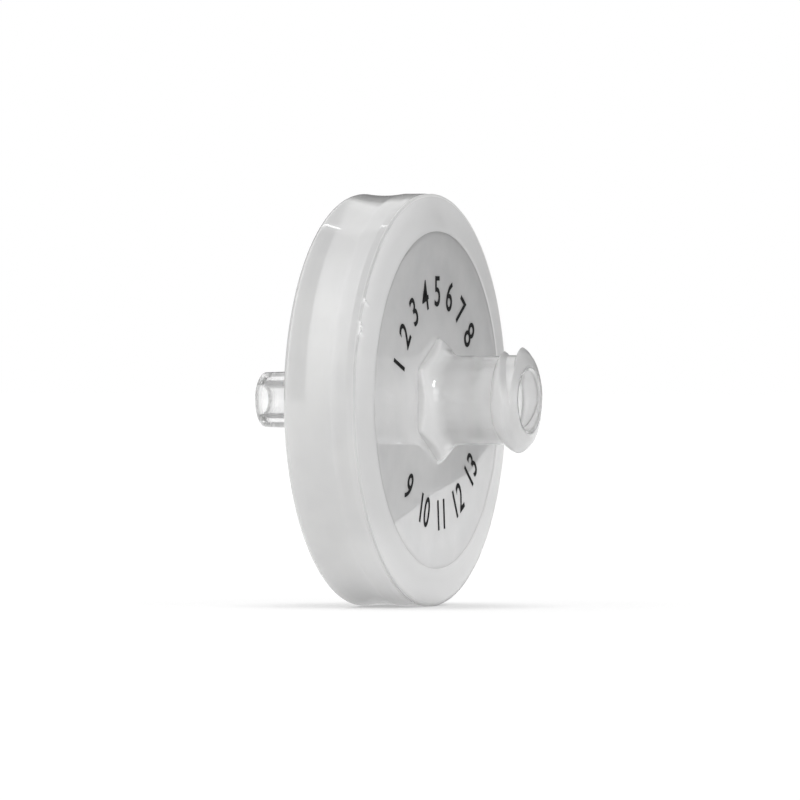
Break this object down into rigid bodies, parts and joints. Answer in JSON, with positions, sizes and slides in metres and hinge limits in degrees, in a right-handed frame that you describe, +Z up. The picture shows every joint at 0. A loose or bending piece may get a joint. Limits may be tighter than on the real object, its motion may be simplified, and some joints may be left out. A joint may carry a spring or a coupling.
{
  "type": "syringe filter",
  "caption": "Round disc-shaped filter capsule for syringes: female luer-lock inlet on a flat front plate, glass-fibre discs sealed inside an overmoulded rim, male luer tip outlet.",
  "frame": {"origin": "centre of the inlet's mouth, on the plane of its flat end face", "axes": "+X out of the inlet's mouth along the filter's axis, so the outlet tip points along -X; +Z up; the disc stands upright across X"},
  "size_m": [0.0205, 0.0296, 0.0296],
  "materials": {
    "clear_housing": "natural translucent polypropylene, glossy, clear in the tubes",
    "milky_band": "milky natural polypropylene, semi-gloss",
    "glass_fibre": "matt white glass-fibre paper",
    "print": "matt black pad-printed ink"
  },
  "bodies": {
    "root": {"inlet_housing": "clear_housing", "outlet_housing": "clear_housing", "rim_band": "milky_band", "coarse_prefilter": "glass_fibre", "fine_prefilter": "glass_fibre", "final_filter": "glass_fibre"}
  },
  "joints": []
}
